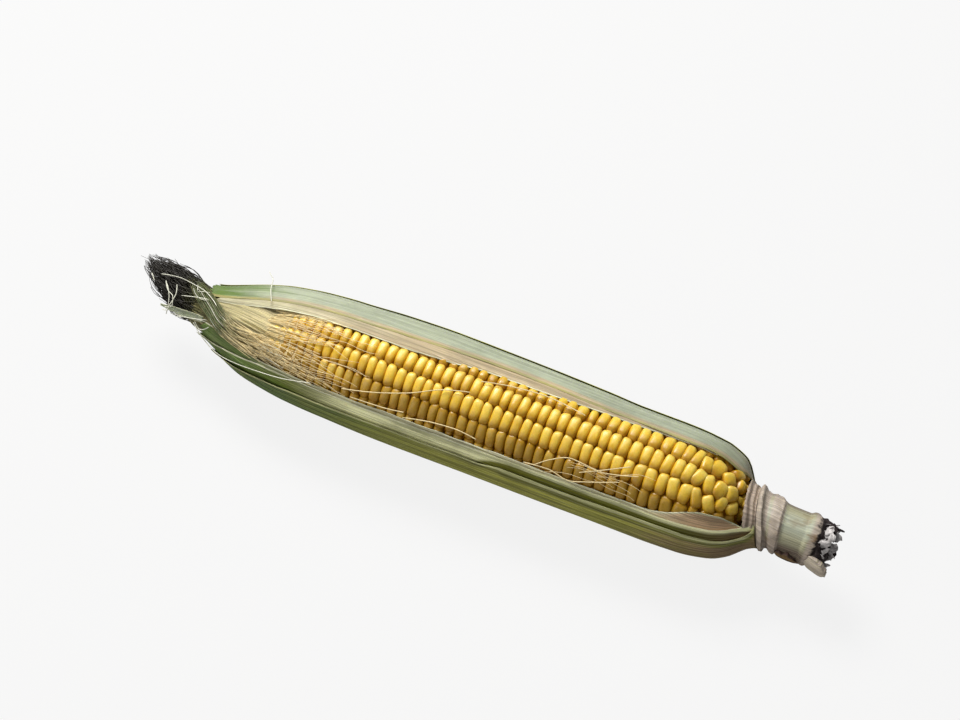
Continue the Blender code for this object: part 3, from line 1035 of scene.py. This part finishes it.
def silk_material(name, near, far, near_station, far_station):
    """Silk whose colour changes along the ear's axis, with strand-to-strand variation."""
    material, nodes, sockets = new_material(name, 0.45, 0.4)
    where = nodes.where()
    shift = nodes.calc("SUBTRACT", nodes.cloud(where, 260.0))
    along = nodes.scaled(shift, 0.02, nodes.split(where)[0])
    toward = nodes.remap(along, NECK_X + far_station * MM, NECK_X + near_station * MM)
    dark = [0.25 * (a + b) for a, b in zip(near, far)]
    skin = mottled(nodes, nodes.blend(toward, far, near), dark, 700.0, 0.4)
    nodes.feed(sockets, {"Base Color": skin})
    return material


# ---------------------------------------------------------------- settings


def colour(name, default, description):
    """A colour that the user can change."""
    return FloatVectorProperty(
        name=name, default=default, size=3, min=0.0, max=1.0, subtype="COLOR", description=description
    )


class CornEarSettings(PropertyGroup):
    rows: IntProperty(name="Rows", default=18, min=12, max=22, description="Rows of kernels round the cob")
    pitch: FloatProperty(name="Pitch", default=USUAL_PITCH, description="Length of a kernel, in mm")
    depth: FloatProperty(name="Depth", default=2.7, description="Height of a kernel's shoulder, in mm")
    # Painted shade: the cob seen in the gaps between kernels is painted this dark colour.
    gap_shade: colour("Deep", (0.24, 0.09, 0.006), "Colour of the cob under the kernels")
    # The kernels' deeper orange low down, also painted shade where they meet.
    groove: colour("Groove", (0.38, 0.17, 0.004), "Colour low on the kernels")
    side: colour("Side", (0.76, 0.45, 0.015), "Colour of a kernel's sides")
    # Painted highlight on the lit far end of each kernel's crown.
    painted_highlight: colour("Satin", (1.0, 0.82, 0.22), "Lit end of a kernel's crown")
    # The kernels' own crown colour, also a painted highlight on the palest crowns.
    crown: colour("Crown", (0.93, 0.69, 0.10), "Colour of a kernel's crown")


class CornHuskSettings(PropertyGroup):
    leaf_green: colour("Leaf green", (0.06, 0.125, 0.010), "Outer husk near the tip")
    leaf_yellow: colour("Yellow green", (0.38, 0.37, 0.055), "Outer husk along its middle")
    mint: colour("Mint", (0.40, 0.445, 0.325), "Pale inner husk")
    blush: colour("Blush", (0.51, 0.40, 0.25), "Thin papery husk next to the kernels")
    milky: colour("Milky", (0.54, 0.51, 0.33), "Thin husk towards the neck")
    rim: colour("Rim", (0.80, 0.80, 0.56), "Thin pale rims")
    streak: colour("Streak", (0.97, 0.97, 0.55), "Pale streaky husk beside the kernels")
    soft_rim: colour("Soft rim", (0.60, 0.60, 0.30), "Rim of the outer husk")
    tip_green: colour("Tip green", (0.10, 0.18, 0.02), "Inner husk at the neck")
    # Painted shade along the pale leaf's edge, where it lies over the thin husk.
    pale_rim_shadow: colour("Ochre", (0.36, 0.32, 0.11), "Rim of the pale husk")
    fresh_green: colour("Fresh green", (0.09, 0.17, 0.015), "Pale husk at the neck")
    # The husk's own olive, used as painted shade on both sides of the outer leaf's rim.
    olive: colour("Olive", (0.17, 0.17, 0.015), "Outer husk under its rim")
    collar: colour("Collar", (0.50, 0.40, 0.32), "Sheath round the butt")
    drying: colour("Drying", (0.33, 0.27, 0.17), "Husk that dries at the butt")
    pink: colour("Pink", (0.60, 0.39, 0.23), "Thin husk at the near side of the butt")
    brown: colour("Brown", (0.27, 0.17, 0.085), "Brown husk at the near side of the butt")
    vein: colour("Vein", (0.62, 0.63, 0.36), "Raised veins")


class CornShankSettings(PropertyGroup):
    stalk: colour("Stalk", (0.40, 0.39, 0.25), "Smooth part of the stalk")
    flap: colour("Flap", (0.66, 0.57, 0.46), "Scrap of sheath at the torn end")
    # Painted highlight along the top of the stalk.
    sheen: colour("Sheen", (0.44, 0.47, 0.36), "Top of the stalk")
    rib: colour("Rib", (0.56, 0.54, 0.40), "Ribs along the stalk")
    scar: colour("Scar", (0.51, 0.43, 0.36), "Ring-shaped leaf scars")
    stain: colour("Stain", (0.22, 0.13, 0.05), "Ochre stains")
    # The dry sheath's colour, also painted as shade over the stalk's underside.
    purple: colour("Purple", (0.10, 0.055, 0.045), "Dry sheath on the stalk")
    torn: colour("Torn end", (0.022, 0.014, 0.014), "Dark torn end")
    fibre: colour("Fibre", (0.78, 0.75, 0.74), "Dry white fibres")


class CornSilkSettings(PropertyGroup):
    strands: IntProperty(name="Tuft strands", default=520, min=50, description="Threads in the tuft")
    thread: FloatProperty(name="Thread radius", default=0.15, description="Radius of a thread, in mm")
    dark: colour("Dark silk", (0.014, 0.010, 0.007), "Dried ends of the silk")
    olive: colour("Olive silk", (0.085, 0.09, 0.026), "Silk near the neck")
    cream: colour("Cream silk", (0.115, 0.15, 0.052), "Fresh silk in the neck")
    gold: colour("Gold silk", (0.95, 0.78, 0.42), "Silk that lies on the kernels")
    matted: colour("Matted silk", (0.58, 0.52, 0.27), "Matted silk under the threads")
    white: colour("White silk", (0.88, 0.88, 0.74), "Loose bright threads")


class CornStageSettings(PropertyGroup):
    azimuth: FloatProperty(name="Azimuth", default=24.2, description="Camera's turn, in degrees")
    elevation: FloatProperty(name="Elevation", default=56.0, description="Camera's height angle, in degrees")
    distance: FloatProperty(name="Distance", default=2.0, unit="LENGTH", description="Camera to the ear")
    lens: FloatProperty(name="Lens", default=197.0, description="Focal length in mm")
    key: FloatProperty(name="Key light", default=14.2, description="Power of the window light, in W")
    fill: FloatProperty(name="Fill light", default=3.8, description="Power of the near side's light, in W")
    wash: FloatProperty(name="Wash", default=0.85, min=0, max=1, description="How far shadows fade")
    floor: colour("Floor", (0.45, 0.45, 0.45), "Floor that lights the ear from below")


# ---------------------------------------------------------------- operators


class CORN_OT_ear(Operator):
    """Build the cob with every kernel"""

    bl_idname = "corn.ear"
    bl_label = "Build Ear"

    def execute(self, context):
        sizes = context.scene.corn_ear
        finish(build_ear(sizes), kernel_material(sizes), "kernels", "ear")
        return {"FINISHED"}


class CORN_OT_husk(Operator):
    """Build the husk leaves, from the thin inner ones to the green outer ones"""

    bl_idname = "corn.husk"
    bl_label = "Build Husk"

    def execute(self, context):
        c = context.scene.corn_husk
        green = "yellow_green_husk"
        torn_over = Curve((0, 1), (120, 1), (138, 5), (230, 5))
        torn_under = Curve((0, 1), (128, 1), (136, 0.42), (230, 0.5))
        # Each leaf: node, slot, material, then husk_material's values and build_leaf's.
        leaves = (
            ("far_inner_leaf", "inner_husk", "Thin husk",
             (c.milky, c.blush, c.drying, c.rim, c.blush),
             (0.8, 0.5, 0.3, 0.35), (90, 205, 0.5, 2), {"curl": -0.6, "ragged": 1.2, "rib": 0.03}),
            ("near_inner_leaf", "inner_husk", "Near thin husk",
             (c.tip_green, c.milky, c.pink, c.rim, c.milky),
             (0.8, 0.5, 0.3, 0.5), (60, 178, 0.5, 0.8), {"curl": -0.3, "ragged": 1.2, "rib": 0.03}),
            # The pale husk's edge is painted with the rim shadow colour: painted shade along the edge.
            ("far_pale_leaf", "pale_husk", "Pale husk",
             (c.fresh_green, c.mint, c.drying, c.pale_rim_shadow, c.blush),
             (1.1, 0.45, 0.15, 0.25), (34, 206, 1.2, 3), {"curl": -0.3, "ragged": 0.5}),
            # The fold leaf's middle is painted olive: painted shade in the valley before the outer leaf's
            # rim.
            ("near_fold_leaf", green, "Fold husk",
             (c.tip_green, c.olive, c.brown, c.rim, c.streak),
             (1.2, 0.42, 0.22, 0.5), (74, 196, 0.7, 11),
             {"curl": 0.1, "ragged": 0.7, "rim_scale": torn_over}),
            ("base_sheath", "dry_sheath", "Collar husk",
             (c.collar, c.collar, c.collar, c.rim, c.collar),
             (0.8, 0.5, 0.1, 0.4), (10, 400, 0.1, 0.2),
             {"curl": 0.0, "ragged": 0.3, "rows": 40, "columns": 90, "frayed": 0.3, "ridge": 0.3}),
            ("far_outer_leaf", "green_husk", "Far outer husk",
             (c.leaf_green, c.leaf_yellow, c.drying, c.leaf_yellow, c.leaf_green),
             (1.3, 0.42, 0.2, 0.5), (150, 196, 0.5, 1), {"curl": 0.1, "ragged": 0.6}),
            # The outer leaf's margin is painted olive: painted shade where it turns down under its rim.
            ("near_outer_leaf", green, "Outer husk",
             (c.leaf_green, c.leaf_yellow, c.brown, c.soft_rim, c.olive),
             (1.3, 0.42, 0.3, 0.55), (130, 180, 0.9, 2),
             {"curl": 0.25, "ragged": 0.6, "rim_scale": torn_under}),
        )
        for seed, (node, slot, name, tones, texture, places, shape) in enumerate(leaves, 1):
            material = husk_material(name, tones, c.vein, texture, places)
            finish(build_leaf(node, seed, **shape), material, slot, node)
        return {"FINISHED"}


class CORN_OT_shank(Operator):
    """Build the shank with its scars, torn fibres and the scrap of leaf sheath"""

    bl_idname = "corn.shank"
    bl_label = "Build Shank"

    def execute(self, context):
        c, vein = context.scene.corn_shank, context.scene.corn_husk.vein
        finish(build_shank(), shank_material(c), "shank", "shank")
        finish(build_torn_fibres(), fibre_material(c), "shank")
        stops = ((251.5, 9.4, 16), (254, 10.9, 26), (257, 12.0, 25), (260, 12.8, 19), (262.4, 13.0, 8))
        scrap = build_strip("sheath_scrap", stops, OPENING + 60, 30, 22, 2.3, 14, 0.6, curl=-0.6)
        tones, places = (c.flap, c.flap, c.flap, c.scar, c.flap), (10, 400, 0.5, 3)
        material = husk_material("Dry sheath", tones, vein, (0.9, 0.6, 0.3, 0.35), places)
        finish(scrap, material, "dry_sheath", "sheath_flap")
        stops = ((237.8, 9.8, 14), (240.5, 10.7, 24), (244, 10.8, 28), (248, 10.7, 22), (250.5, 10.4, 8))
        rag = build_strip("sheath_rag", stops, OPENING + 86, 24, 20, 2.2, 19, 1.6, curl=-0.3)
        tones, places = (c.purple, c.purple, c.purple, c.purple, c.stain), (240, 400, 0.3, 3)
        finish(rag, husk_material("Purple sheath", tones, vein, (0.9, 0.6, 0.1, 0.5), places), "dry_sheath")
        return {"FINISHED"}


# Threads that lie over the kernels, and loose ones round the neck: stops of (station, angle, radius).
CROSSING_THREADS = (
    ((66, 58, 22.6), (78, 50, 23.2), (92, 38, 23.4), (104, 24, 23.2), (114, 17, 22.8)),
    ((70, 63, 22.8), (84, 61, 23.0), (92, 58, 23.0)),
    ((92, 64, 22.8), (104, 57, 23.3), (114, 55, 23.4), (122, 58, 22.9)),
    ((116, 3, 23.0), (128, -3, 23.4), (142, -6, 23.6), (158, -2, 23.0)),
    ((146, 62, 23.0), (152, 50, 23.4), (160, 42, 23.6), (172, 44, 23.5), (186, 36, 22.8)),
    ((142, 63, 22.8), (152, 60, 23.3), (160, 64, 23.2), (168, 58, 23.5), (180, 47, 23.3)),
    ((164, 52, 23.2), (174, 40, 23.6), (182, 30, 23.2)),
)
LOOSE_THREADS = (
    ((-1.5, 69, 10.8), (7.3, 100, 14.2), (13.5, 93, 17.0), (28, 80, 20.6), (44, 70, 22.9), (53.6, 64, 23.0)),
    ((-17.4, 4, 10.4), (-15, 22, 11), (-12, 31, 11.6), (-11.2, 48, 11.4), (-14.3, 58, 10.8)),
    ((-17, 8, 10.2), (-15.8, 14, 11.2), (-13.2, 36, 11.6), (-12.4, 60, 11.2), (-15, 66, 10.6)),
    ((-12.7, 4, 10.6), (-11.2, 26, 11.4), (-12.4, 53, 11.4), (-13.1, 73, 10.8)),
    ((-24.2, -4, 9.8), (-23.0, 4, 10.5), (-21.8, 12, 10.2)),
    ((-1.2, 68, 10.2), (1.2, 79, 11.0), (3.9, 71, 11.6), (5.4, 62, 12.2)),
    ((-20, -4, 11.5), (-12, -14, 11.0), (-4, -10, 10.4), (3, 8, 10.8), (6, 20, 11.6)),
    ((26.6, -6, 19.2), (23.8, -22, 19.6), (20.9, -48, 20.2), (18.6, -56, 21.2), (17.4, -60, 22.0)),
)


class CORN_OT_silk(Operator):
    """Build the silk: the dried tuft, the strands in the neck and those on the kernels"""

    bl_idname = "corn.silk"
    bl_label = "Build Silk"

    def execute(self, context):
        c, husk = context.scene.corn_silk, context.scene.corn_husk
        crossing = [free_strand(*stops) for stops in CROSSING_THREADS]
        loose = [free_strand(*stops) for stops in LOOSE_THREADS]
        gold = silk_material("Kernel silk", c.gold, c.gold, 60.0, 14.0)
        tuft = strand_object("silk_tuft_threads", many(tuft_strand, c.strands, 3), c.thread)
        finish(tuft, silk_material("Dried silk", c.olive, c.dark, 2.0, -12.0), "silk", "silk_tuft")
        tones, places = (c.olive, c.matted, c.gold, c.matted, c.matted), (10, 12, 0.1, 0.2)
        matted = husk_material("Matted silk", tones, c.gold, (0.5, 0.5, 0.4, 0.6), places)
        finish(build_silk_bed(), matted, "silk")
        # Each bundle: piece, strands, how thick its threads are, and material.
        bundles = (
            ("olive_silk_in_neck", many(sweeping_strand, 34, 12) + many(neck_strand, 16, 13), 1.0,
             silk_material("Olive silk", c.gold, c.olive, 26.0, 6.0)),
            ("silk_in_neck", many(neck_strand, 40, 5) + many(sweeping_strand, 40, 6), 0.85,
             silk_material("Neck silk", c.gold, c.cream, 30.0, 8.0)),
            ("silk_on_kernels", many(lying_strand, 56, 8, (20, 46), (-6, 70), (14, 34))
             + many(lying_strand, 8, 10, (142, 172), (44, 64), (12, 28), 0.5, 8.0), 0.7, gold),
            ("silk_across_kernels", crossing, 1.5, gold),
            ("loose_silk", loose + many(curl, 5, 21) + many(sweeping_strand, 4, 34), 1.2,
             silk_material("Loose silk", c.white, c.white, 10.0, -6.0)),
        )
        for name, strands, thickness, material in bundles:
            finish(strand_object(name, strands, c.thread * thickness), material, "silk")
        stops = ((1.5, 9.1, 8), (-3, 9.4, 8.5), (-7.5, 9.7, 8), (-12, 9.6, 6), (-16.5, 9.3, 2.5))
        blade = build_strip("dried_blade", stops, OPENING + 27, 34, 9, 0.25, 17, 0.5)
        tones, places = (husk.mint, husk.mint, husk.mint, husk.rim, husk.mint), (10, 400, 0.4, 3)
        material = husk_material("Dried blade", tones, husk.vein, (0.6, 0.6, 0.3, 0.35), places)
        finish(blade, material, "dry_sheath", "dried_leaf_tip")
        return {"FINISHED"}


class CORN_OT_stage(Operator):
    """Set the pale floor, the soft lights and the camera"""

    bl_idname = "corn.stage"
    bl_label = "Set Stage"

    def execute(self, context):
        scene, stage = context.scene, context.scene.corn_stage
        scene.view_settings.view_transform = "Standard"
        build_floor(stage)
        add_camera(scene, stage)
        add_softbox("key", (-0.45, 0.46, 0.84), 0.5, stage.key, (1.0, 0.98, 0.95))
        add_softbox("fill", (-0.55, -0.75, 0.60), 0.9, stage.fill, (1.0, 0.98, 0.94))
        world = bpy.data.worlds.new("Pale room")
        world.use_nodes = True
        background = world.node_tree.nodes["Background"]
        background.inputs[0].default_value = (1.0, 1.0, 1.0, 1.0)
        background.inputs[1].default_value = 0.2
        scene.world = world
        return {"FINISHED"}


def build_floor(stage):
    """A wide floor that curves up into a backdrop, with its shadows partly washed out."""
    half, depth, height, bend, steps = 2.5, 2.2, 1.6, 0.6, 12
    profile = [(-half, 0.0), (depth - bend, 0.0)]
    for step in range(1, steps + 1):
        turn = math.pi / 2 * step / steps
        profile.append((depth - bend + bend * math.sin(turn), bend - bend * math.cos(turn)))
    profile.append((depth, height))
    points = [Vector((x, y, z)) for y, z in profile for x in (-half, half)]
    floor = new_piece("floor", points, grid_faces(len(profile), 2))
    material, nodes, sockets = new_material("Floor paper", 0.85, 0.2)
    dark = [channel * 0.97 for channel in stage.floor]
    nodes.feed(sockets, {"Base Color": mottled(nodes, stage.floor, dark, 3.0, 0.3)})
    glow = nodes.add("Emission", {"Color": (1.0, 1.0, 1.0)})
    seen = nodes.product(nodes.add("LightPath").outputs["Is Camera Ray"], stage.wash)
    paper = nodes.tree.nodes["Principled BSDF"].outputs[0]
    both = nodes.add("MixShader", {0: seen, 1: paper, 2: glow.outputs[0]})
    nodes.feed(nodes.tree.nodes["Material Output"].inputs, {"Surface": both.outputs[0]})
    floor.data.materials.append(material)


def add_camera(scene, stage):
    """The camera, which looks at the ear's middle from the stage's azimuth and elevation."""
    a, e = math.radians(stage.azimuth), math.radians(stage.elevation)
    back = Vector((math.sin(a) * math.cos(e), -math.cos(a) * math.cos(e), math.sin(e)))
    right = Vector((math.cos(a), math.sin(a), 0))
    up = back.cross(right)
    aside, above = 0.0151, 0.0253
    aim = place(SHANK_END / 2, 0, 0) - right * aside + up * above
    data = bpy.data.cameras.new("camera")
    data.lens = stage.lens
    data.clip_start = 0.01
    camera = bpy.data.objects.new("camera", data)
    scene.collection.objects.link(camera)
    turn = Matrix((right, up, back)).transposed().to_4x4()
    camera.matrix_world = Matrix.Translation(aim + back * stage.distance) @ turn
    scene.camera = camera


def add_softbox(name, direction, size, power, colour):
    """A square area light that looks at the ear's middle."""
    data = bpy.data.lights.new(name, "AREA")
    data.size, data.energy, data.color = size, power, colour
    light = bpy.data.objects.new(name, data)
    bpy.context.scene.collection.objects.link(light)
    light.location = place(120, 0, 0) + Vector(direction)
    light.rotation_euler = (-Vector(direction)).to_track_quat("-Z", "Y").to_euler()


# ---------------------------------------------------------------- add-on


SETTINGS = {
    "corn_ear": CornEarSettings, "corn_husk": CornHuskSettings, "corn_shank": CornShankSettings,
    "corn_silk": CornSilkSettings, "corn_stage": CornStageSettings,
}


class CORN_PT_builder(Panel):
    bl_idname = "CORN_PT_builder"
    bl_label = "Corn Cob"
    bl_space_type = "VIEW_3D"
    bl_region_type = "UI"
    bl_category = "Corn"

    def draw(self, context):
        for group, cls in SETTINGS.items():
            box = self.layout.box()
            for name in cls.__annotations__:
                box.prop(getattr(context.scene, group), name)
            box.operator(group.replace("_", "."))


CLASSES = (
    *SETTINGS.values(), CORN_OT_ear, CORN_OT_husk, CORN_OT_shank, CORN_OT_silk, CORN_OT_stage,
    CORN_PT_builder,
)


def register():
    for cls in CLASSES:
        bpy.utils.register_class(cls)
    for name, cls in SETTINGS.items():
        setattr(bpy.types.Scene, name, PointerProperty(type=cls))


def unregister():
    for name in SETTINGS:
        delattr(bpy.types.Scene, name)
    for cls in reversed(CLASSES):
        bpy.utils.unregister_class(cls)


def main():
    register()
    bpy.ops.corn.stage()
    bpy.ops.corn.ear()
    bpy.ops.corn.husk()
    bpy.ops.corn.shank()
    bpy.ops.corn.silk()


if __name__ == "__main__":
    main()
